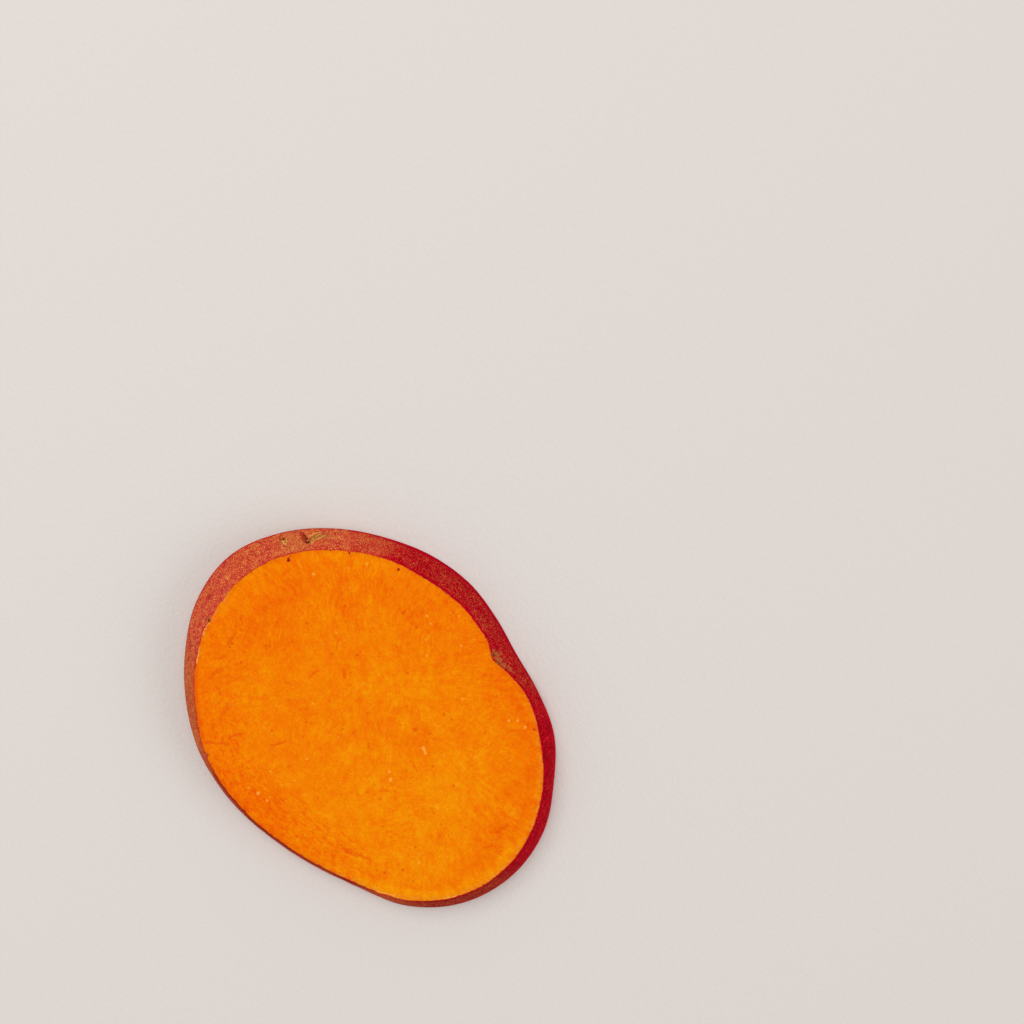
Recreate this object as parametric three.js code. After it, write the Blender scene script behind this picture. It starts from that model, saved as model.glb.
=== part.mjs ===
// One slice cut across an orange-fleshed sweet potato. Flesh and skin grew as one piece, so
// the slice is one solid. It lies flat on the larger of its two cut faces.
// Millimetres, +Z up, +X along the slice's long axis, origin under the middle of its outline.
import * as THREE from 'three';
import { mergeVertices, toCreasedNormals } from 'three/addons/utils/BufferGeometryUtils.js';

const thickness = 6.35; // a quarter-inch cut
const skinSwell = 0.35; // how far the skin bows outwards halfway up its wall
const stepsRound = 240;
const stepsUp = 8;

const fleshColour = new THREE.Color('#f17c06');
const skinColour = new THREE.Color('#b0433a');
const cutEdge = THREE.MathUtils.degToRad(40); // a sharper fold than this is a cut edge

// The outline at even steps round the slice, from +X towards +Y: the radius of the upper
// cut face, then that of the lower one, which is larger because the root swells downwards.
const outline = [
  [36.8, 40.3], [35.7, 38.9], [33.6, 36.0], [31.3, 33.9], [29.5, 31.1], [27.0, 29.4],
  [27.1, 29.9], [28.4, 31.4], [29.7, 32.8], [31.9, 34.3], [33.8, 36.5], [35.8, 38.8],
  [36.4, 40.3], [35.7, 39.2], [34.1, 36.7], [32.1, 34.6], [30.8, 33.0], [29.2, 31.4],
  [28.1, 30.2], [27.7, 29.9], [28.3, 30.7], [30.2, 32.9], [33.7, 37.2], [36.1, 39.8],
];

// A growth crease folds the skin in at the upper edge and dies out towards the lower one.
const crease = { direction: 81, reach: 8, depth: 1.0, sharpness: 1.3 };

// Old eyes and scars pit the skin: direction in degrees, height, radius and depth.
const scars = [
  { direction: 159.0, height: 3.0, radius: 1.3, depth: 0.55 },
  { direction: 164.5, height: 2.0, radius: 0.9, depth: 0.3 },
  { direction: 196.0, height: 5.8, radius: 0.7, depth: 0.25 },
  { direction: 77.5, height: 5.2, radius: 1.6, depth: 0.35 },
];

const outlineCurve = new THREE.CatmullRomCurve3(
  outline.map(([upper, lower]) => new THREE.Vector3(upper, lower, 0)), true, 'catmullrom');

function creaseDepth(degrees, rise) {
  const nearness = 1 - Math.abs(degrees - crease.direction) / crease.reach;
  return crease.depth * rise * Math.max(nearness, 0) ** crease.sharpness;
}

function scarDepth(degrees, rise, radius) {
  let depth = 0;
  for (const scar of scars) {
    const across = THREE.MathUtils.degToRad(degrees - scar.direction) * radius;
    const up = rise * thickness - scar.height;
    depth += scar.depth * Math.exp(-(across ** 2 + up ** 2) / scar.radius ** 2);
  }
  return depth;
}

// Radius of the skin at a direction in degrees and a rise from 0, the lower face, to 1.
function skinRadius(degrees, rise) {
  const { x: upper, y: lower } = outlineCurve.getPoint(degrees / 360);
  const swell = 4 * skinSwell * rise * (1 - rise);
  const radius = THREE.MathUtils.lerp(lower, upper, rise) + swell;
  return radius - creaseDepth(degrees, rise) - scarDepth(degrees, rise, radius);
}

// A drum of radius 1 and height 1, drawn out to the slice's outline at every height.
function sliceGeometry() {
  const drum = new THREE.CylinderGeometry(1, 1, 1, stepsRound, stepsUp).rotateX(Math.PI / 2);
  drum.deleteAttribute('normal');
  drum.deleteAttribute('uv');
  const geometry = mergeVertices(drum);
  const places = geometry.attributes.position;
  const place = new THREE.Vector3();
  for (let i = 0; i < places.count; i += 1) {
    place.fromBufferAttribute(places, i);
    const rise = place.z + 0.5;
    const turn = Math.atan2(place.y, place.x) / (2 * Math.PI);
    const reach = skinRadius(360 * (turn - Math.floor(turn)), rise);
    places.setXYZ(i, place.x * reach, place.y * reach, rise * thickness);
  }
  geometry.computeBoundingBox();
  const middle = geometry.boundingBox.getCenter(new THREE.Vector3());
  geometry.translate(-middle.x, -middle.y, 0);
  return toCreasedNormals(geometry, cutEdge);
}

// Orange on the two level cut faces, red on the skin between them.
function paintCutAndSkin(geometry) {
  const normals = geometry.attributes.normal;
  const colours = new THREE.Float32BufferAttribute(normals.count * 3, 3);
  for (let i = 0; i < normals.count; i += 1) {
    const colour = Math.abs(normals.getZ(i)) > Math.cos(cutEdge) ? fleshColour : skinColour;
    colours.setXYZ(i, colour.r, colour.g, colour.b);
  }
  geometry.setAttribute('color', colours);
}

const geometry = sliceGeometry();
paintCutAndSkin(geometry);
const slice = new THREE.Mesh(geometry, new THREE.MeshStandardMaterial({
  vertexColors: true, roughness: 0.55, metalness: 0,
}));
slice.name = 'sweet_potato_slice';

const part = new THREE.Group();
part.add(slice);

export default part;
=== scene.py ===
import math
import random

import bmesh
import bpy
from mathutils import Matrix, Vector, noise


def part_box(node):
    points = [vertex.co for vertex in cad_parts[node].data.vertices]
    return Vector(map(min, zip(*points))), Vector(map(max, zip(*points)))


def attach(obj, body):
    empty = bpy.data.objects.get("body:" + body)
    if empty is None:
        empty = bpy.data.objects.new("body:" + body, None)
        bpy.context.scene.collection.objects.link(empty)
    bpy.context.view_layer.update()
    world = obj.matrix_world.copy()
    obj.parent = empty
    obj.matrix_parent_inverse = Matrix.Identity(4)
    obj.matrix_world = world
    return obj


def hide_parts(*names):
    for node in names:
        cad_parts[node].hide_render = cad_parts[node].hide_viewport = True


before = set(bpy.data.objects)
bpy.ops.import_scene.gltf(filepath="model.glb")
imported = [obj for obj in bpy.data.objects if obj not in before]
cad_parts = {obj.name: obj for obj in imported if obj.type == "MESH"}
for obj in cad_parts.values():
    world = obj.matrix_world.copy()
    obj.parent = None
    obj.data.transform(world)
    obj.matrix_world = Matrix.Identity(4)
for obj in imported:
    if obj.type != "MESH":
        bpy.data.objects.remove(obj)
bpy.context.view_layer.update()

mm = 0.001

# A raw slice of sweet potato, finished over its CAD solid: orange cut flesh inside thin red skin.
# Blender's units are metres. Places and sizes of the slice's own marks are in mm.

sliceSettings = {
    "node": "sweet_potato_slice",
    "slot": "flesh_and_skin",
    "faceRings": 96,       # rings of squares from the middle of a cut face to its edge
    "wallRows": 20,        # rows of squares up the skin
    "edgeRound": 0.05,     # mm, the blunt line left by the knife
    "readTurns": 240,      # directions in which the CAD wall is read
    "readLevels": 10,
    "readTrim": 0.002,     # share of the height kept clear of both cut faces
    "readStart": 0.37,     # share of a step, so that no ray runs along an edge of the solid
}

fleshRelief = {
    "waveSize": 13, "waveDepth": 0.06,      # mm
    "grainSize": 1.3, "grainDepth": 0.05,
    "edgeReach": 0.4, "edgeDepth": 0.02,
}

skinRelief = {
    "lumpSize": 5.5, "lumpDepth": 0.16,     # mm, shallow hollows
    "creaseSize": 1.8, "creaseDepth": 0.05, # fine creases between them
    "tearSize": 0.7, "tearDepth": 0.06,     # how ragged the knife left the skin's upper edge
    "footing": 0.9,                         # mm above the lower cut where the skin is still even
}

# Pits in the skin: direction in degrees, height, radius and depth in mm.
pits = [
    (158.4, 3.8, 0.50, 0.50), (158.7, 3.0, 0.40, 0.35), (159.0, 2.1, 0.35, 0.30),
    (159.0, 1.4, 0.30, 0.20), (156.0, 3.0, 0.50, 0.12), (164.8, 1.9, 0.40, 0.30),
    (164.9, 3.0, 0.35, 0.15), (195.6, 6.0, 0.40, 0.35), (81.5, 5.5, 0.60, 0.22),
    (78.4, 5.2, 0.70, 0.20), (75.5, 5.4, 0.50, 0.14), (248.0, 2.9, 0.60, 0.45),
    (287.0, 4.1, 0.45, 0.35), (291.5, 3.2, 0.35, 0.20),
]

# Chips out of the upper cut edge: direction in degrees, half length and depth in mm.
chips = [
    (192.0, 2.6, 0.16), (187.5, 0.8, 0.14), (239.8, 0.35, 0.35), (325.6, 0.9, 0.18),
    (165.5, 0.5, 0.20), (146.4, 0.6, 0.10), (264.3, 0.4, 0.20), (206.5, 1.2, 0.08),
]

# Soft zones where the flesh is redder or brighter, by an amount of its tone: place on the cut
# face and reach in mm.
softZones = [
    (-0.12, [
        (-24.4, -0.7, 4.6), (-22.6, -1.0, 3.0), (-29.6, 0.6, 3.2), (-28.0, 6.0, 2.8), (8.4, 4.2, 2.8),
        (30.4, 5.0, 3.2), (29.4, 3.4, 3.0), (31.6, 1.0, 2.2), (35.4, -3.7, 3.0),
        (-13.2, -12.2, 3.8), (2.0, -10.3, 3.0), (2.2, -15.2, 2.6), (3.9, -25.4, 2.2),
        (-33.3, 9.5, 2.4), (-27.8, -6.2, 3.0), (-21.4, 12.0, 4.0), (-12.4, 18.6, 2.4),
        (20.9, 21.6, 2.4), (10.0, 25.0, 2.2), (-23.4, -12.2, 2.2), (7.6, -5.0, 2.0), (1.8, -0.6, 2.0),
        (-12.5, 5.2, 2.2), (20.6, -21.2, 3.0), (13.6, -20.4, 2.2), (-8.0, 26.0, 2.2), (23.0, 4.0, 2.2),
        (30.4, -1.6, 2.4), (-2.6, -25.4, 2.2), (-1.0, 16.2, 2.2), (-9.4, -8.4, 2.4),
    ]),
    (0.12, [
        (18.0, 8.1, 3.8), (13.0, 6.5, 2.2), (28.6, 15.8, 3.0), (-12.1, -20.7, 3.0),
        (-14.6, -25.0, 3.0), (33.2, 9.5, 3.0), (-24.0, 19.0, 2.4), (-5.4, 7.6, 3.2),
        (0.8, 11.9, 2.2), (5.6, 9.8, 2.2), (5.0, 19.3, 3.0), (15.5, -22.6, 2.4), (-17.6, -2.2, 2.2),
    ]),
]


# The CAD wall as rows of radii, from the lower cut to the upper.
def readWall(node):
    low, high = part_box(node)
    levels, turns = sliceSettings["readLevels"], sliceSettings["readTurns"]
    trim = sliceSettings["readTrim"]
    rows = []
    for level in range(levels):
        share = trim + (1 - 2 * trim) * level / (levels - 1)
        height = low.z + (high.z - low.z) * share
        row = []
        for step in range(turns):
            angle = 2 * math.pi * (step + sliceSettings["readStart"]) / turns
            way = Vector((math.cos(angle), math.sin(angle), 0))
            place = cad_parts[node].ray_cast(Vector((0, 0, height)), way)[1]
            row.append(place.xy.length)
        rows.append(row)
    return rows


wall = readWall(sliceSettings["node"])
lowZ, highZ = (corner.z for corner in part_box(sliceSettings["node"]))
tall = (highZ - lowZ) / mm


# Radius of the wall in mm at a direction in radians and a rise from 0 to 1.
def wallRadius(angle, rise):
    count = sliceSettings["readTurns"]
    along = angle / (2 * math.pi) * count - sliceSettings["readStart"]
    first = math.floor(along)
    part = along - first
    up = min(rise, 0.9999) * (sliceSettings["readLevels"] - 1)
    row = int(up)
    radii = []
    for level in (row, row + 1):
        a, b, c, d = (wall[level][(first + k) % count] for k in (-1, 0, 1, 2))
        bend = part * (2 * a - 5 * b + 4 * c - d + part * (3 * (b - c) + d - a))
        radii.append(b + 0.5 * part * (c - a + bend))
    return (radii[0] + (radii[1] - radii[0]) * (up - row)) / mm


# A cube cut into squares, its top and bottom as fine grids and its sides in rows.
def makeBlank():
    blank = bmesh.new()
    bmesh.ops.create_cube(blank, size=2)
    level = [e for e in blank.edges if abs(e.verts[0].co.z - e.verts[1].co.z) < 1]
    cuts = 2 * sliceSettings["faceRings"] - 1
    bmesh.ops.subdivide_edges(blank, edges=level, cuts=cuts, use_grid_fill=True)
    upright = [e for e in blank.edges if abs(e.verts[0].co.z - e.verts[1].co.z) > 1]
    cuts = sliceSettings["wallRows"] - 1
    bmesh.ops.subdivide_edges(blank, edges=upright, cuts=cuts, use_grid_fill=True)
    return blank


# A square's point moved to a disc, each square ring to a round one: its share of the
# radius, and its direction in radians.
def roundOff(u, v):
    share = max(abs(u), abs(v))
    if share == 0:
        return 0, 0
    if abs(u) > abs(v):
        turn = math.pi / 4 * v / u + (math.pi if u < 0 else 0)
    else:
        turn = math.pi / 2 - math.pi / 4 * u / v + (math.pi if v < 0 else 0)
    return share, turn % (2 * math.pi)


# Smooth noise from about -1 to 1, its grains about one size across.
def rough(x, y, z, size, octaves=1):
    return noise.fractal(Vector((x, y, z)) / size, 1.0, 2.0, octaves)


def bell(distance, width):
    return math.exp(-(distance / width) ** 2)


# The distance in mm along the wall from one direction to another, in degrees.
def alongWall(degrees, other, radius):
    return math.radians((degrees - other + 180) % 360 - 180) * radius


# How far a cut face lies below the knife's plane at a place in mm.
def faceDepth(x, y, gap, side):
    wave = 0.5 + 0.5 * rough(x, y, 40 * side, fleshRelief["waveSize"])
    grain = 0.5 + 0.5 * rough(x, y, 9 * side, fleshRelief["grainSize"], 2)
    depth = fleshRelief["waveDepth"] * wave + fleshRelief["grainDepth"] * max(grain, 0)
    return depth + fleshRelief["edgeDepth"] * bell(gap, fleshRelief["edgeReach"])


# How far the skin lies inside the CAD wall at a place in mm and a direction in degrees.
def skinDepth(x, y, z, degrees, radius):
    lump = rough(x, y, 0.7 * z + 60, skinRelief["lumpSize"])
    crease = 1 - 4 * abs(rough(x, y, 2.2 * z, skinRelief["creaseSize"], 2))
    depth = skinRelief["lumpDepth"] * max(lump, 0) + skinRelief["creaseDepth"] * max(crease, 0)
    depth *= min(z / skinRelief["footing"], 1)
    for direction, height, width, deep in pits:
        away = math.hypot(alongWall(degrees, direction, radius), z - height)
        depth += deep * bell(away, width)
    return depth


# How much of the upper edge the knife tore or chipped away.
def edgeLoss(x, y, degrees, radius):
    loss = skinRelief["tearDepth"] * (0.5 + 0.5 * rough(x, y, 20, skinRelief["tearSize"], 2))
    for direction, half, deep in chips:
        loss += deep * bell(alongWall(degrees, direction, radius), half)
    return loss


# How much brighter, or redder when below 0, the flesh is round a place in mm.
def zoneTint(x, y):
    return sum(
        amount * bell(math.hypot(x - place[0], y - place[1]), place[2])
        for amount, zones in softZones for place in zones
    )


# Draws the blank out to the CAD wall, sinks the relief into it and notes what the paints need.
def shapeSlice(blank):
    edgeGap = blank.verts.layers.float.new("edgeGap")
    riseUp = blank.verts.layers.float.new("rise")
    tint = blank.verts.layers.float.new("tint")
    for vert in blank.verts:
        share, angle = roundOff(vert.co.x, vert.co.y)
        degrees = math.degrees(angle)
        rise = (vert.co.z + 1) / 2
        reach = wallRadius(angle, rise)
        x, y, z = share * reach * math.cos(angle), share * reach * math.sin(angle), rise * tall
        gap = (1 - share) * reach
        loss = edgeLoss(x, y, degrees, reach) * bell(1 - rise, 0.06) if gap < 3 else 0
        sink = skinDepth(x, y, z, degrees, reach) if gap < 3 else 0
        radius = share * reach - (sink + loss) * bell(gap, 1.2)
        x, y = radius * math.cos(angle), radius * math.sin(angle)
        if rise > 0.9999:
            z -= faceDepth(x, y, gap, 1) + 0.5 * loss * bell(gap, 0.5)
        elif rise < 0.0001:
            z += faceDepth(x, y, gap, 2)
        vert[edgeGap] = gap
        vert[riseUp] = rise
        vert[tint] = zoneTint(x, y) if abs(vert.co.z) > 0.999 else 0
        vert.co = (x * mm, y * mm, z * mm + lowZ)


def makeSlice():
    blank = makeBlank()
    for face in blank.faces:
        face.smooth = True
        face.material_index = 0 if abs(face.normal.z) > 0.9 else 1
    shapeSlice(blank)
    cutEdges = [
        e for e in blank.edges
        if len({face.material_index for face in e.link_faces}) == 2
    ]
    bmesh.ops.bevel(blank, geom=cutEdges, offset=sliceSettings["edgeRound"] * mm, segments=2,
                    profile=0.5, affect="EDGES", material=-1, clamp_overlap=True,
                    loop_slide=True)
    bmesh.ops.recalc_face_normals(blank, faces=blank.faces)
    mesh = bpy.data.meshes.new("sweetPotatoSlice")
    blank.to_mesh(mesh)
    blank.free()
    piece = bpy.data.objects.new("sweetPotatoSlice", mesh)
    bpy.context.scene.collection.objects.link(piece)
    return piece


# A hex colour as linear red, green, blue and alpha.
def paint(code):
    parts = [int(code[k:k + 2], 16) / 255 for k in (1, 3, 5)]
    return [p / 12.92 if p <= 0.04045 else ((p + 0.055) / 1.055) ** 2.4 for p in parts] + [1]


def feed(tree, socket, value):
    if isinstance(value, bpy.types.NodeSocket):
        tree.links.new(value, socket)
    else:
        socket.default_value = value


def addNode(tree, kind, inputs, **settings):
    node = tree.nodes.new("ShaderNode" + kind)
    for name, value in settings.items():
        setattr(node, name, value)
    for name, value in inputs.items():
        feed(tree, node.inputs[name], value)
    return node


def maths(tree, operation, *values):
    return addNode(tree, "Math", dict(enumerate(values)), operation=operation).outputs[0]


def vectorMaths(tree, operation, *values, output="Vector"):
    node = addNode(tree, "VectorMath", dict(enumerate(values)), operation=operation)
    return node.outputs[output]


# Adds weighted amounts to a start: total(tree, 0.5, (cloud, 0.9), (ray, 0.3)).
def total(tree, start, *parts):
    for value, weight in parts:
        start = maths(tree, "MULTIPLY_ADD", value, weight, start)
    return start


# Runs smoothly from 0 at low to 1 at high; low may be the larger.
def between(tree, value, low, high):
    if low > high:
        return maths(tree, "SUBTRACT", 1, between(tree, value, high, low))
    return addNode(tree, "MapRange", {
        "Value": value, "From Min": low, "From Max": high,
    }, interpolation_type="SMOOTHSTEP").outputs[0]


# 1 from low to high and 0 past a soft border on either side.
def window(tree, value, low, high, soft):
    rising = between(tree, value, low - soft, low)
    return maths(tree, "MULTIPLY", rising, between(tree, value, high + soft, high))


def both(tree, *amounts):
    joined = amounts[0]
    for amount in amounts[1:]:
        joined = maths(tree, "MULTIPLY", joined, amount)
    return joined


def blendColours(tree, amount, under, over):
    return addNode(tree, "Mix", {0: amount, 6: under, 7: over}, data_type="RGBA").outputs[2]


def attribute(tree, name):
    return addNode(tree, "Attribute", {}, attribute_name=name).outputs["Fac"]


# Object coordinates in mm.
def placeInMm(tree):
    where = addNode(tree, "TexCoord", {}).outputs["Object"]
    return vectorMaths(tree, "MULTIPLY", where, (1 / mm, 1 / mm, 1 / mm))


# Places squeezed so that noise of size 1 on them is as long and wide as given in mm, its
# length turned by some degrees.
def drawnOut(tree, where, sizes, turn=0):
    return addNode(tree, "Mapping", {
        "Vector": where, "Rotation": (0, 0, math.radians(turn)), "Scale": sizes,
    }, vector_type="TEXTURE").outputs[0]


# Noise about 0, its grains about one size across.
def grain(tree, where, size, detail=2, roughness=0.5, distortion=0):
    node = addNode(tree, "TexNoise", {
        "Vector": where, "Scale": 1 / size, "Detail": detail,
        "Roughness": roughness, "Distortion": distortion,
    })
    return maths(tree, "SUBTRACT", node.outputs[0], 0.5)


# Places pushed about by noise, so that what is drawn with them is ragged.
def wobbled(tree, where, size, amount):
    drift = addNode(tree, "TexNoise", {
        "Vector": where, "Scale": 1 / size, "Detail": 2,
    }).outputs["Color"]
    drift = vectorMaths(tree, "SUBTRACT", drift, (0.5, 0.5, 0.5))
    return vectorMaths(tree, "MULTIPLY_ADD", drift, (amount, amount, amount), where)


# Adds a mark to an amount: 1 in the mark's middle, falling to 0 a width away.
def addMark(tree, amount, away, width):
    near = addNode(tree, "MapRange", {
        "Value": away, "From Min": width, "From Max": 0,
    }).outputs[0]
    return maths(tree, "MAXIMUM", near, amount)


# Round marks: middle and width of each.
def spots(tree, where, places, amount=0):
    for x, y, z, width in places:
        away = vectorMaths(tree, "DISTANCE", where, (x, y, z), output="Value")
        amount = addMark(tree, amount, away, width)
    return amount


# Long marks: start, end and width of each.
def strokes(tree, where, lines, amount=0):
    for start, end, width in lines:
        span = Vector(end) - Vector(start)
        away = vectorMaths(tree, "SUBTRACT", where, start)
        share = vectorMaths(tree, "DOT_PRODUCT", away, span / span.length_squared, output="Value")
        share = addNode(tree, "Clamp", {0: share}).outputs[0]
        nearest = addNode(tree, "VectorMath", {0: span, "Scale": share}, operation="SCALE").outputs[0]
        amount = addMark(tree, amount, vectorMaths(tree, "DISTANCE", away, nearest, output="Value"), width)
    return amount


# Marks with frayed outlines: the amount is worn away unevenly, then given an edge.
def frayed(tree, where, amount, low=0.1, high=0.8):
    wear = total(tree, 1, (grain(tree, where, 0.4, 2, 0.8), 2.2))
    return between(tree, both(tree, amount, wear), low, high)


# Small specks, one to a cell of the given size, each as strong as a draw of its own.
def specks(tree, where, cell, width):
    node = addNode(tree, "TexVoronoi", {"Vector": where, "Scale": 1 / cell})
    near = between(tree, node.outputs["Distance"], width / cell, 0.3 * width / cell)
    return both(tree, near, between(tree, node.outputs["Color"], 0.35, 0.75))


# The way from a middle to each place, level and one long.
def levelWay(tree, where, middle=(0, 0)):
    away = vectorMaths(tree, "SUBTRACT", where, (middle[0], middle[1], 0))
    away = vectorMaths(tree, "MULTIPLY", away, (1, 1, 0))
    return vectorMaths(tree, "NORMALIZE", away), vectorMaths(tree, "LENGTH", away, output="Value")


# 1 in the directions within half of a middle one, in degrees, and 0 past a soft border.
def sector(tree, way, middle, half, soft):
    facing = (math.cos(math.radians(middle)), math.sin(math.radians(middle)), 0)
    near = vectorMaths(tree, "DOT_PRODUCT", way, facing, output="Value")
    inner, outer = math.cos(math.radians(half)), math.cos(math.radians(half + soft))
    return between(tree, near, outer, inner)


def newMaterial(name):
    material = bpy.data.materials.new(name)
    material.use_nodes = True
    tree = material.node_tree
    tree.nodes.clear()
    shader = tree.nodes.new("ShaderNodeBsdfPrincipled")
    output = tree.nodes.new("ShaderNodeOutputMaterial")
    tree.links.new(shader.outputs[0], output.inputs[0])
    return material, tree, shader


fleshPaint = {
    "deep": "#e45000",
    "middle": "#ea7a00",
    "bright": "#eea004",
    "tone": 0.52,
    "rayMiddle": (-8.2, 3.7),   # mm, where the fine rays of the flesh meet
    "rayWidth": 0.45,           # mm, 20 mm out from there
    "rayLength": 3.0,
    "strand": (1.9, 0.45, 1),   # mm, how long and wide the other fibres are
    "roughness": (0.50, 0.66),
}

# Which way the fibres lie, in degrees, round some places on the face in mm, out to a reach.
fleshStrands = [
    (55, [(15.6, -5.9, 15)]),
    (83, [(-21.2, -14.4, 13), (14.6, 14.0, 14)]),
    (130, [(-3.9, 3.5, 17), (-25.7, -2.2, 14), (-8.3, 18.8, 13), (27.0, -6.0, 9)]),
]

# Marks on the upper cut face. Dots have a place in mm and a radius; lines have two ends.
redDots = [
    (-12.9, 18.5, 0.58), (-7.1, 25.5, 0.50), (5.4, 6.0, 0.70), (24.7, -13.1, 0.52),
    (14.1, 15.4, 0.50), (-2.5, 1.3, 0.60), (-12.2, 7.0, 0.45), (-1.4, -3.0, 0.40),
    (-3.7, 11.8, 0.45), (11.5, -7.5, 0.42), (18.1, 4.5, 0.42), (22.7, -8.5, 0.40),
    (24.0, -3.6, 0.34), (-24.5, -10.2, 0.48), (-30.8, -4.9, 0.45), (3.0, 4.4, 0.35),
    (-9.3, 18.6, 0.60), (8.2, 12.4, 0.42), (-26.9, 18.0, 0.42),
]
redLines = [
    (-29.3, -7.7, -28.3, -10.7, 0.50), (-28.5, -13.9, -27.3, -11.8, 0.48),
    (-26.1, -16.6, -26.0, -13.8, 0.66), (-23.7, -16.6, -22.2, -16.9, 0.40),
    (-19.5, -19.0, -20.1, -17.3, 0.75), (-15.2, -21.2, -14.3, -18.9, 0.55),
    (-17.2, -25.1, -14.4, -21.9, 0.45), (-13.8, -23.9, -12.6, -21.0, 0.35),
    (-9.1, -15.9, -8.0, -13.7, 0.40), (-14.4, -2.5, -14.5, -0.5, 0.45),
    (-11.6, 3.3, -10.4, 2.5, 0.42), (-16.6, 6.1, -15.5, 4.8, 0.32), (2.0, -2.2, 2.7, -3.1, 0.34),
    (13.8, -18.9, 19.4, -16.3, 0.36), (15.2, -18.8, 17.1, -17.8, 0.55), (10.5, 1.4, 11.8, 1.3, 0.40),
    (18.7, -1.3, 20.0, -1.7, 0.40), (10.0, -6.5, 11.2, -5.2, 0.34), (16.7, -11.2, 17.6, -10.0, 0.38),
    (31.1, 1.3, 31.5, 2.4, 0.55), (30.3, 5.1, 30.4, 7.2, 0.75), (-9.9, -27.2, -7.3, -27.9, 0.42),
]
darkDots = [
    (-33.6, 8.9, 0.52), (-33.9, 9.6, 0.28), (-19.5, 22.9, 0.40), (19.4, 22.7, 0.34),
    (-28.3, -9.2, 0.26), (-28.1, -9.9, 0.20), (27.6, -13.0, 0.20), (-27.6, 18.1, 0.30),
]
creamDots = [
    (9.8, -3.6, 0.55), (8.5, -2.9, 0.42), (16.1, 21.6, 0.46), (17.9, 21.8, 0.48),
    (15.1, 20.2, 0.36), (-28.7, 10.6, 0.46), (-22.6, 14.1, 0.34), (-9.6, 21.4, 0.40),
    (-3.7, -24.0, 0.50), (-1.6, -23.6, 0.38), (-23.9, 19.2, 0.34), (-1.3, 22.6, 0.34),
]
creamLines = [
    (9.0, 4.9, 10.0, 4.6, 0.52), (24.8, -19.5, 27.4, -17.6, 0.32), (34.0, -10.4, 35.0, -9.0, 0.26),
]


def onFace(marks):
    return [(*mark[:2], tall, *mark[2:]) for mark in marks]


def linesOnFace(lines):
    return [((a, b, tall), (c, d, tall), width) for a, b, c, d, width in lines]


# Dots on the lower cut face, out of the picture's sight, scattered by a seeded draw.
def lowerMarks(count, seed):
    draw = random.Random(seed)
    marks = []
    for _ in range(count):
        away, angle = 30 * math.sqrt(draw.random()), draw.uniform(0, 2 * math.pi)
        width = draw.uniform(0.3, 0.6)
        marks.append((away * math.cos(angle), 0.8 * away * math.sin(angle), 0, width))
    return marks


# Fine lines that run out from a middle, as coordinates for noise.
def rayPlace(tree, where, width, length):
    way, distance = levelWay(tree, where, fleshPaint["rayMiddle"])
    turned = vectorMaths(tree, "MULTIPLY", way, (20 / width, 20 / width, 0))
    along = addNode(tree, "CombineXYZ", {2: maths(tree, "DIVIDE", distance, length)}).outputs[0]
    return vectorMaths(tree, "ADD", turned, along), distance


# Coordinates for noise that runs along the skin: fine across it, long beside it.
def alongSkin(tree, where, gap, width, length):
    level = vectorMaths(tree, "MULTIPLY", where, (1 / length, 1 / length, 0))
    inward = addNode(tree, "CombineXYZ", {2: maths(tree, "DIVIDE", gap, width)}).outputs[0]
    return vectorMaths(tree, "ADD", level, inward)


# The flesh's fibres, about 0: lying one way or another by place, and fanning out elsewhere.
def fibreTone(tree, where, curly, longSide):
    lying = 0
    elsewhere = 1
    for turn, zones in fleshStrands:
        strand = grain(tree, drawnOut(tree, curly, fleshPaint["strand"], turn), 1, 2, 0.6)
        here = spots(tree, where, onFace(zones))
        lying = maths(tree, "MULTIPLY_ADD", strand, here, lying)
        elsewhere = maths(tree, "MULTIPLY_ADD", here, -1, elsewhere)
    rayWhere, distance = rayPlace(tree, curly, fleshPaint["rayWidth"], fleshPaint["rayLength"])
    fanned = maths(tree, "MAXIMUM", maths(tree, "MULTIPLY_ADD", longSide, -0.7, elsewhere), 0.25)
    fan = both(tree, fanned, between(tree, distance, 3, 14))
    return maths(tree, "MULTIPLY_ADD", grain(tree, rayWhere, 1, 2, 0.5), fan, lying)


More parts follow.
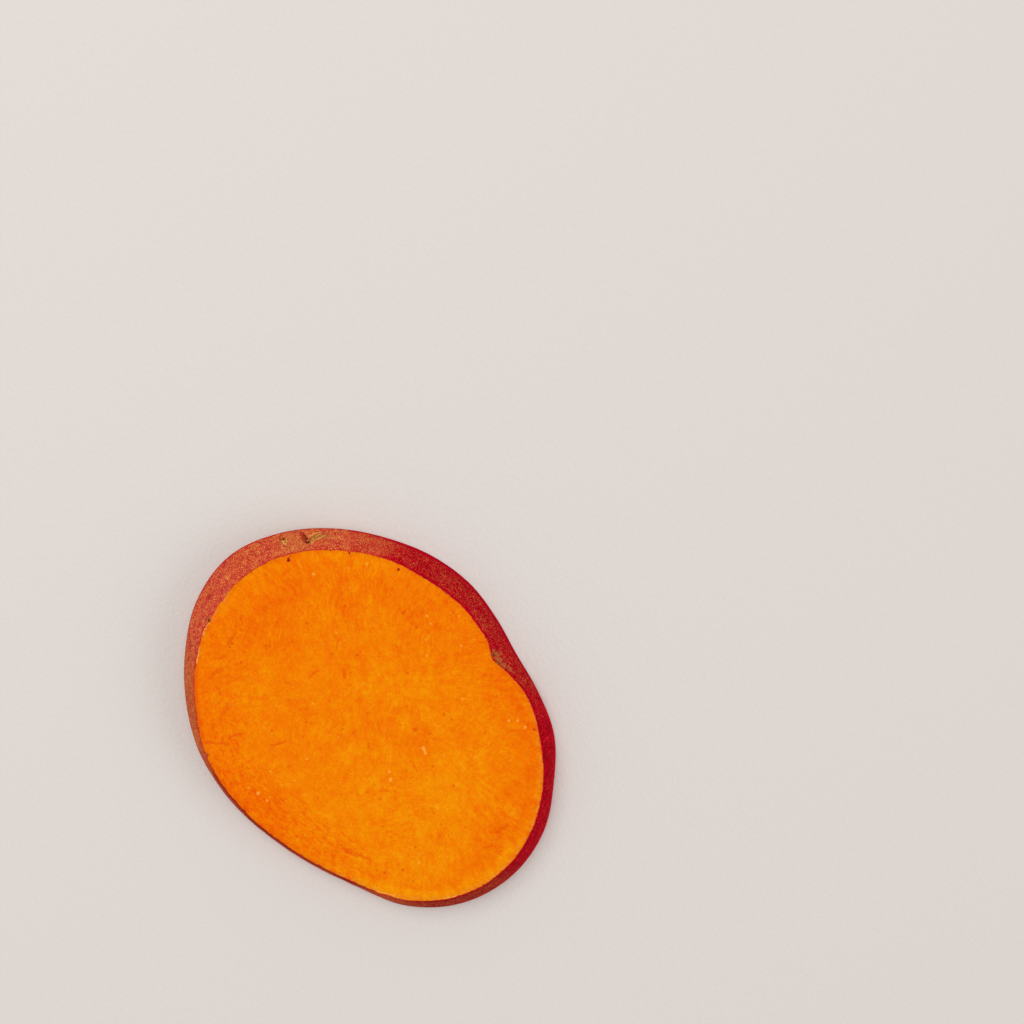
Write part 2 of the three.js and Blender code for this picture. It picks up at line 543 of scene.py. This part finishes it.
# How bright the flesh is, 0.5 in the middle of its range.
def fleshTone(tree, where, gap, way):
    curly = wobbled(tree, wobbled(tree, where, 7, 4), 1.5, 0.9)
    cloud = grain(tree, where, 4.4, 5, 0.95)
    curls = grain(tree, where, 1.2, 2, 0.7, 1.6)
    longSide = sector(tree, way, 270, 36, 16)
    fibres = fibreTone(tree, where, curly, longSide)

    # a redder ring inside the skin, fading out at the pointed end, where the rim is brightest
    waved = total(tree, gap, (grain(tree, where, 5, 2), 3))
    point = sector(tree, way, 325, 34, 16)
    ring = both(tree, between(tree, waved, 11, 5), maths(tree, "SUBTRACT", 1, point))
    rim = window(tree, waved, 0.6, 1.8, 1.2)
    brightRim = both(tree, rim, sector(tree, way, 340, 22, 16))
    paleRim = both(tree, rim, sector(tree, way, 145, 40, 20))
    band = both(tree, window(tree, gap, 1.9, 3.0, 0.7), sector(tree, way, 38, 20, 14))

    # redder still on the long side away from the crease, in curly strands that follow the skin
    outer = both(tree, longSide, between(tree, waved, 8, 3))
    curlyGap = total(tree, gap, (grain(tree, where, 1.3, 2), 1.4))
    strands = grain(tree, alongSkin(tree, curly, curlyGap, 0.36, 1.5), 1, 1, 0.6)
    strands = both(tree, between(tree, strands, 0.0, 0.14), longSide, between(tree, gap, 12, 6))
    lines = grain(tree, alongSkin(tree, curly, waved, 0.5, 4), 1, 2, 0.5)
    lines = both(tree, lines, sector(tree, way, 290, 34, 16), between(tree, gap, 12, 7))
    lit = both(tree, sector(tree, way, 322, 44, 24), between(tree, gap, 2, 7))

    return total(
        tree, fleshPaint["tone"], (cloud, 1.22), (curls, 0.48), (fibres, 0.78), (ring, -0.10),
        (brightRim, 0.17), (paleRim, 0.08), (band, -0.10), (outer, -0.04), (strands, -0.24),
        (lines, 0.45), (lit, 0.09), (attribute(tree, "tint"), 1),
    )


# The skin's own cut edge on the face, and what the knife left beside it.
def edgeColours(tree, colour, where, gap, way):
    ragged = grain(tree, where, 0.5, 2, 0.7)
    torn = grain(tree, where, 1.1, 2, 0.7)
    uneven = total(tree, gap, (ragged, 1.2))

    dim = total(tree, 1, (between(tree, gap, 1.1, 0.25), -0.08))
    colour = addNode(tree, "HueSaturation", {"Color": colour, "Value": dim}).outputs[0]
    pale = both(tree, between(tree, uneven, 1.2, 0.4), between(tree, torn, -0.10, 0.08))
    pale = both(tree, pale, sector(tree, way, 0, 42, 24))
    colour = blendColours(tree, maths(tree, "MULTIPLY", pale, 0.35), colour, paint("#e29a34"))

    red = both(tree, between(tree, uneven, 1.1, 0.4), sector(tree, way, 222, 8, 8))
    colour = blendColours(tree, maths(tree, "MULTIPLY", red, 0.35), colour, paint("#e03c08"))

    threads = between(tree, total(tree, gap, (ragged, 3.4), (torn, 3.4)), 0.6, 0.0)
    threads = both(tree, threads, sector(tree, way, 190, 4, 3))
    colour = blendColours(tree, maths(tree, "MULTIPLY", threads, 0.45), colour, paint("#e88c38"))

    line = between(tree, total(tree, gap, (ragged, 0.6)), 0.16, 0.02)
    colour = blendColours(tree, maths(tree, "MULTIPLY", line, 0.8), colour, paint("#a4101c"))

    cream = maths(tree, "MAXIMUM", sector(tree, way, 198.2, 1.8, 0.6), sector(tree, way, 206.6, 2.0, 0.8))
    cream = both(tree, cream, between(tree, total(tree, gap, (ragged, 1.2)), 0.26, 0.08))
    return blendColours(tree, maths(tree, "MULTIPLY", cream, 0.7), colour, paint("#f0b468"))


def fleshMaterial():
    material, tree, shader = newMaterial("sweetPotatoFlesh")
    where = placeInMm(tree)
    gap = attribute(tree, "edgeGap")
    way = levelWay(tree, where)[0]

    tone = fleshTone(tree, where, gap, way)
    lower = maths(tree, "MULTIPLY", tone, 2)
    colour = blendColours(tree, lower, paint(fleshPaint["deep"]), paint(fleshPaint["middle"]))
    brighter = maths(tree, "MULTIPLY_ADD", tone, 2, -1)
    colour = blendColours(tree, brighter, colour, paint(fleshPaint["bright"]))

    ragged = wobbled(tree, where, 0.5, 0.6)
    elsewhere = vectorMaths(tree, "ADD", ragged, (31, 17, 5))
    redSpecks = specks(tree, ragged, 2.0, 0.38)
    paleSpecks = specks(tree, elsewhere, 2.4, 0.34)
    colour = blendColours(tree, maths(tree, "MULTIPLY", redSpecks, 0.5), colour, paint("#cc3e00"))
    colour = blendColours(tree, maths(tree, "MULTIPLY", paleSpecks, 0.38), colour, paint("#f4ba3c"))
    colour = edgeColours(tree, colour, where, gap, way)

    bent = wobbled(tree, ragged, 1.4, 1.0)
    red = frayed(tree, where, strokes(tree, bent, linesOnFace(redLines)))
    colour = blendColours(tree, maths(tree, "MULTIPLY", red, 0.50), colour, paint("#dc4006"))
    red = frayed(tree, where, spots(tree, ragged, onFace(redDots) + lowerMarks(9, 3)))
    colour = blendColours(tree, maths(tree, "MULTIPLY", red, 0.62), colour, paint("#d83c06"))
    cream = spots(tree, ragged, onFace(creamDots) + lowerMarks(7, 8))
    cream = frayed(tree, where, strokes(tree, ragged, linesOnFace(creamLines), cream), 0.1, 0.7)
    colour = blendColours(tree, maths(tree, "MULTIPLY", cream, 0.75), colour, paint("#f4a83c"))
    dark = frayed(tree, where, spots(tree, ragged, onFace(darkDots)), 0.1, 0.6)
    colour = blendColours(tree, dark, colour, paint("#8c0414"))

    fine = grain(tree, where, 0.42, 2, 1.0)
    value = total(tree, 1, (fine, 0.44))
    colour = addNode(tree, "HueSaturation", {"Color": colour, "Value": value}).outputs[0]
    feed(tree, shader.inputs["Base Color"], colour)
    low, high = fleshPaint["roughness"]
    feed(tree, shader.inputs["Roughness"], addNode(tree, "MapRange", {
        "Value": fine, "From Min": -0.3, "From Max": 0.3, "To Min": low, "To Max": high,
    }).outputs[0])
    shader.inputs["Specular IOR Level"].default_value = 0.02
    shader.inputs["Subsurface Weight"].default_value = 0.2
    shader.inputs["Subsurface Radius"].default_value = (1.0, 0.35, 0.1)
    shader.inputs["Subsurface Scale"].default_value = 1.2 * mm
    height = total(tree, fine, (tone, 0.6), (red, -0.4), (redSpecks, -0.4), (paleSpecks, 0.3))
    bump = addNode(tree, "Bump", {"Height": height, "Strength": 0.5, "Distance": 0.06 * mm})
    feed(tree, shader.inputs["Normal"], bump.outputs[0])
    return material


# The skin's colours on its copper stretch and on its crimson one.
skinPaint = {
    "copper": {"dark": "#8c2414", "base": "#d24c2c", "fleck": "#ee9452"},
    "crimson": {"dark": "#78000a", "base": "#c8001e", "fleck": "#b86a36"},
    "tan": "#c47038",
    "pink": "#d03c40",
    "brown": "#b46434",          # towards the steep side
    "wornRedAndGlow": "#c00422",            # where the outer cork has worn off, brightened as a painted glow of light bounced off flesh
    "fleck": (0.17, 0.17, 0.30), # mm, the size of a fleck across and up the skin
    "streak": (0.5, 0.5, 4.0),   # of the fine streaks up the skin
    "crimsonFrom": 54,           # degrees, the middle of the crimson stretch
    "crimsonHalf": 66,
    "crimsonSoft": 36,
    "fleckedFrom": 100,          # degrees, where it is flecked most
}

# The skin's marks are placed as if it were a drum of this radius in mm, so that one keeps
# its size down in a pit.
drumRadius = 34


def drumPoint(degrees, height):
    angle = math.radians(degrees)
    return drumRadius * math.cos(angle), drumRadius * math.sin(angle), height


def drumPlace(tree, where, way):
    level = vectorMaths(tree, "MULTIPLY", way, (drumRadius, drumRadius, 0))
    return vectorMaths(tree, "MULTIPLY_ADD", where, (0, 0, 1), level)


def drumSpots(places):
    return [(*drumPoint(degrees, height), width) for degrees, height, width in places]


def drumLines(lines):
    return [(drumPoint(a, b), drumPoint(c, d), width) for a, b, c, d, width in lines]


# Cork grown over old wounds: direction in degrees, height and radius in mm.
corkDots = [
    (157.0, 3.2, 1.3), (155.4, 2.8, 1.3), (153.8, 2.9, 1.2), (164.8, 2.8, 1.0), (195.6, 5.9, 0.7),
    (82.4, 5.6, 0.8), (80.6, 5.2, 1.1), (78.4, 5.4, 1.2), (76.0, 5.6, 1.1), (73.4, 5.3, 0.8),
    (71.4, 5.0, 0.5), (80.0, 4.2, 0.6), (248.0, 2.9, 1.3), (250.0, 3.2, 1.0), (287.0, 4.1, 0.9),
    (291.5, 3.2, 0.7),
]

# Yellow streaks in the cork, and cracks and holes: the two ends of each, then its width.
corkStreaks = [
    (158.0, 3.8, 155.4, 2.4, 0.24), (157.8, 4.5, 153.2, 2.7, 0.22), (157.8, 2.2, 154.6, 1.6, 0.24),
    (157.0, 3.0, 154.6, 2.2, 0.20), (165.2, 2.7, 164.6, 4.0, 0.24), (164.5, 2.4, 164.1, 3.2, 0.20),
    (248.6, 3.4, 251.0, 3.2, 0.24), (247.8, 2.2, 250.4, 2.6, 0.22),
]
holeLines = [
    (158.3, 4.1, 158.6, 3.3, 0.46), (158.8, 2.6, 159.1, 1.6, 0.26), (157.6, 3.4, 156.2, 2.6, 0.18),
    (164.7, 2.2, 164.9, 1.8, 0.30), (195.6, 6.1, 195.6, 5.9, 0.26), (81.8, 5.6, 81.0, 5.4, 0.24),
    (78.6, 5.8, 77.4, 5.8, 0.18), (248.0, 3.1, 248.0, 2.7, 0.50), (287.0, 4.3, 287.0, 3.9, 0.42),
    (291.5, 3.3, 291.5, 3.1, 0.34),
]
woundLines = [
    (159.6, 2.8, 159.8, 1.2, 0.75), (159.2, 3.6, 159.4, 2.8, 0.60), (191.2, 3.4, 191.2, 3.6, 0.8),
    (165.6, 2.2, 165.8, 1.4, 0.40),
]


# 1 where the skin is crimson and 0 where it is copper, going over in patches.
def crimsonAmount(tree, way, broad, blotch):
    crimson = sector(
        tree, way, skinPaint["crimsonFrom"], skinPaint["crimsonHalf"], skinPaint["crimsonSoft"],
    )
    return between(tree, total(tree, crimson, (broad, 0.9), (blotch, 0.6)), 0.0, 0.9)


def skinColour(tree, where, way, rise):
    broad = grain(tree, where, 4.5, 2, 0.6, 0.5)
    blotch = grain(tree, where, 1.3, 3, 0.7)
    flecks = grain(tree, drawnOut(tree, where, skinPaint["fleck"]), 1, 1.5, 0.7, 0.8)
    crimson = crimsonAmount(tree, way, broad, blotch)
    shades = {}
    for shade in ("dark", "base", "fleck"):
        copper, red = skinPaint["copper"][shade], skinPaint["crimson"][shade]
        shades[shade] = blendColours(tree, crimson, paint(copper), paint(red))

    # on the crimson stretch the flecks thin out away from one side, and towards both cuts;
    # they are thickest between the two old wounds
    worn = sector(tree, way, 162, 2.5, 3)
    flecked = sector(tree, way, skinPaint["fleckedFrom"], 30, 24)
    bare = both(tree, crimson, maths(tree, "SUBTRACT", 1, window(tree, rise, 0.22, 0.84, 0.18)))
    amount = total(
        tree, flecks, (blotch, 0.30), (crimson, -0.11), (flecked, 0.10), (bare, -0.12),
        (worn, 0.02),
    )
    tinted = maths(tree, "MULTIPLY_ADD", crimson, -0.5, 0.5)
    tan = both(tree, between(tree, blotch, 0.0, 0.16), tinted)
    colour = blendColours(tree, tan, shades["base"], paint(skinPaint["tan"]))
    ruddy = maths(tree, "MULTIPLY_ADD", sector(tree, way, 195, 8, 8), 0.6, tinted)
    pink = both(tree, between(tree, blotch, 0.10, -0.16), ruddy)
    colour = blendColours(tree, pink, colour, paint(skinPaint["pink"]))
    colour = blendColours(tree, maths(tree, "MULTIPLY", worn, 0.4), colour, paint(skinPaint["tan"]))
    brown = maths(tree, "MAXIMUM", sector(tree, way, 342, 10, 14), sector(tree, way, 226, 10, 14))
    brown = maths(tree, "MULTIPLY", brown, 0.5)
    colour = blendColours(tree, brown, colour, paint(skinPaint["brown"]))
    colour = blendColours(tree, between(tree, amount, -0.02, -0.14), colour, shades["dark"])
    colour = blendColours(tree, between(tree, amount, 0.04, 0.15), colour, shades["fleck"])

    # worn down to crimson along both cut edges, in a red brightened as a painted glow of light bounced off
    # flesh
    ragged = total(tree, rise, (grain(tree, where, 0.6, 2), 0.16))
    low = maths(tree, "MULTIPLY_ADD", crimson, 0.12, 0.03)
    low = between(tree, maths(tree, "SUBTRACT", ragged, low), 0.05, 0.0)
    high = maths(tree, "MULTIPLY", between(tree, ragged, 0.92, 1.0), 0.7)
    wornAndGlow = maths(tree, "MULTIPLY", maths(tree, "MAXIMUM", low, high), 0.8)
    colour = blendColours(tree, wornAndGlow, colour, paint(skinPaint["wornRedAndGlow"]))
    streak = grain(tree, drawnOut(tree, where, skinPaint["streak"]), 1, 2, 0.6)
    # painted light on the crimson: darker round 90 degrees as painted shade, and lighter round 36 degrees
    # as painted light bounced onto the side turned from the key light
    shaded = sector(tree, way, 90, 22, 22)
    bright = sector(tree, way, 36, 16, 18)
    nearCut = both(tree, crimson, between(tree, rise, 0.80, 0.97))
    value = total(
        tree, 1, (both(tree, streak, crimson), 0.38), (shaded, -0.12), (bright, 0.18), (nearCut, 0.16),
    )
    colour = addNode(tree, "HueSaturation", {"Color": colour, "Value": value}).outputs[0]

    # darker towards the upper cut on the steep side, where only a thin line of it is in sight
    darker = between(tree, total(tree, rise, (blotch, 0.5), (broad, 0.5)), 0.45, 1.05)
    darker = both(tree, darker, sector(tree, way, 282, 28, 18))
    return blendColours(tree, maths(tree, "MULTIPLY", darker, 0.85), colour, paint("#7c0c14")), flecks


# Torn pale fibres on the skin's upper edge, where it frayed under the knife.
def frayedColour(tree, colour, where, way, rise):
    torn = grain(tree, where, 0.7, 2, 0.8)
    threads = between(tree, total(tree, rise, (torn, 0.6)), 0.98, 1.1)
    threads = both(tree, threads, sector(tree, way, 190, 4, 3))
    return blendColours(tree, maths(tree, "MULTIPLY", threads, 0.5), colour, paint("#e4904c"))


def skinMaterial():
    material, tree, shader = newMaterial("sweetPotatoSkin")
    where = placeInMm(tree)
    way = levelWay(tree, where)[0]
    rise = attribute(tree, "rise")
    colour, flecks = skinColour(tree, where, way, rise)
    colour = frayedColour(tree, colour, where, way, rise)

    drum = drumPlace(tree, where, way)
    ragged = wobbled(tree, drum, 0.6, 0.7)
    cork = between(tree, spots(tree, ragged, drumSpots(corkDots)), 0.05, 0.7)
    mottled = grain(tree, drawnOut(tree, where, (0.22, 0.22, 0.3)), 1, 2, 0.7)
    corkColour = blendColours(tree, between(tree, mottled, -0.14, 0.0), paint("#6a3416"), paint("#ac6430"))
    corkColour = blendColours(tree, between(tree, mottled, 0.05, 0.14), corkColour, paint("#d2a050"))
    colour = blendColours(tree, maths(tree, "MULTIPLY", cork, 0.7), colour, corkColour)
    wound = frayed(tree, drum, strokes(tree, ragged, drumLines(woundLines)))
    colour = blendColours(tree, maths(tree, "MULTIPLY", wound, 0.7), colour, paint("#9c0c12"))
    streaks = frayed(tree, drum, strokes(tree, ragged, drumLines(corkStreaks)), 0.05, 0.6)
    colour = blendColours(tree, maths(tree, "MULTIPLY", streaks, 0.8), colour, paint("#e0ac4c"))
    hole = frayed(tree, drum, strokes(tree, ragged, drumLines(holeLines)), 0.05, 0.6)
    colour = blendColours(tree, maths(tree, "MULTIPLY", hole, 0.85), colour, paint("#480e0c"))

    feed(tree, shader.inputs["Base Color"], colour)
    feed(tree, shader.inputs["Roughness"], addNode(tree, "MapRange", {
        "Value": flecks, "From Min": -0.3, "From Max": 0.3, "To Min": 0.55, "To Max": 0.8,
    }).outputs[0])
    shader.inputs["Specular IOR Level"].default_value = 0.01
    height = total(tree, flecks, (streaks, 0.4), (hole, -0.8))
    bump = addNode(tree, "Bump", {"Height": height, "Strength": 0.6, "Distance": 0.12 * mm})
    feed(tree, shader.inputs["Normal"], bump.outputs[0])
    return material


floorSettings = {
    "size": 20.0,
    "colour": "#d6d1cd",
    "toothSize": 0.9,      # mm, the paper's tooth
    "toothDepth": 0.24,
    "mottle": 0.07,        # how uneven the paper's colour is
    "fadeFrom": 200,       # mm from the middle, where the floor starts to melt into the backdrop
    "fadeTo": 600,
}


def makeFloor():
    plane = bmesh.new()
    bmesh.ops.create_grid(plane, x_segments=1, y_segments=1, size=floorSettings["size"] / 2)
    mesh = bpy.data.meshes.new("paperFloor")
    plane.to_mesh(mesh)
    plane.free()
    floor = bpy.data.objects.new("paperFloor", mesh)
    bpy.context.scene.collection.objects.link(floor)
    material, tree, shader = newMaterial("palePaper")
    shader.inputs["Roughness"].default_value = 0.9
    shader.inputs["Specular IOR Level"].default_value = 0
    where = placeInMm(tree)
    value = total(tree, 1, (grain(tree, where, 0.5, 2, 0.8), floorSettings["mottle"]))
    feed(tree, shader.inputs["Base Color"], addNode(tree, "HueSaturation", {
        "Color": paint(floorSettings["colour"]), "Value": value,
    }).outputs[0])
    near = between(tree, levelWay(tree, where)[1], floorSettings["fadeTo"], floorSettings["fadeFrom"])
    tooth = maths(tree, "MULTIPLY", grain(tree, where, floorSettings["toothSize"], 3, 0.6), near)
    bump = addNode(tree, "Bump", {
        "Height": tooth, "Strength": 0.6, "Distance": floorSettings["toothDepth"] * mm,
    })
    feed(tree, shader.inputs["Normal"], bump.outputs[0])
    backdrop = addNode(tree, "Emission", {
        0: paint(lighting["world"]), 1: lighting["worldStrength"],
    }).outputs[0]
    faded = addNode(tree, "MixShader", {0: near, 1: backdrop, 2: shader.outputs[0]}).outputs[0]
    tree.links.new(faded, tree.nodes["Material Output"].inputs[0])
    mesh.materials.append(material)


# The view: the slice lies low and left in the picture, seen from a little off straight above.
cameraView = {
    "aim": (-0.01356, 0.04479, 0.0),
    "distance": 0.4465,
    "azimuth": 145.0,      # degrees, of the camera as seen from the aim
    "elevation": 78.66,
    "pictureUp": 140.46,   # degrees, the way across the floor that is up in the picture
    "lens": 85.96,
    "sensor": 36,
}


def onFloor(degrees, size=1.0):
    angle = math.radians(degrees)
    return Vector((size * math.cos(angle), size * math.sin(angle), 0))


def makeCamera():
    lift = math.radians(cameraView["elevation"])
    back = onFloor(cameraView["azimuth"], math.cos(lift)) + Vector((0, 0, math.sin(lift)))
    across = onFloor(cameraView["pictureUp"]).cross(back).normalized()
    up = back.cross(across)
    place = Vector(cameraView["aim"]) + back * cameraView["distance"]
    data = bpy.data.cameras.new("camera")
    data.lens = cameraView["lens"]
    data.sensor_width = cameraView["sensor"]
    camera = bpy.data.objects.new("camera", data)
    bpy.context.scene.collection.objects.link(camera)
    turned = camera.matrix_world.copy()
    for column, axis in enumerate((across, up, back, place)):
        for row in range(3):
            turned[row][column] = axis[row]
    camera.matrix_world = turned
    bpy.context.scene.camera = camera


# A broad key light and a weaker fill from the other side: where each stands in degrees round
# the slice and above the floor, how far off in metres, how wide, and its power in watts.
lighting = {
    "key": {"from": 175, "lift": 54, "away": 1.15, "size": 0.7, "power": 6.0},
    "fill": {"from": 28, "lift": 28, "away": 2.4, "size": 1.4, "power": 16.0},
    "world": "#e0dddb",
    "worldStrength": 0.85,
}


def makeLight(name):
    settings = lighting[name]
    data = bpy.data.lights.new(name, "AREA")
    data.shape = "DISK"
    data.size = settings["size"]
    data.energy = settings["power"]
    light = bpy.data.objects.new(name, data)
    lift = math.radians(settings["lift"])
    level = onFloor(settings["from"], settings["away"] * math.cos(lift))
    light.location = level + Vector((0, 0, settings["away"] * math.sin(lift)))
    light.rotation_euler = light.location.to_track_quat("Z", "Y").to_euler()
    light.visible_camera = False
    bpy.context.scene.collection.objects.link(light)


def makeLights():
    makeLight("key")
    makeLight("fill")
    world = bpy.data.worlds.new("studio")
    world.use_nodes = True
    background = world.node_tree.nodes["Background"]
    background.inputs[0].default_value = paint(lighting["world"])
    background.inputs[1].default_value = lighting["worldStrength"]
    bpy.context.scene.world = world
    bpy.context.scene.view_settings.view_transform = "Standard"


makeCamera()
makeLights()
makeFloor()
print("stage ready")

piece = makeSlice()
piece.data.materials.append(fleshMaterial())
piece.data.materials.append(skinMaterial())
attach(piece, "root")
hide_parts(sliceSettings["node"])
triangles = sum(len(face.vertices) - 2 for face in piece.data.polygons)
print("slice ready:", triangles, "triangles")
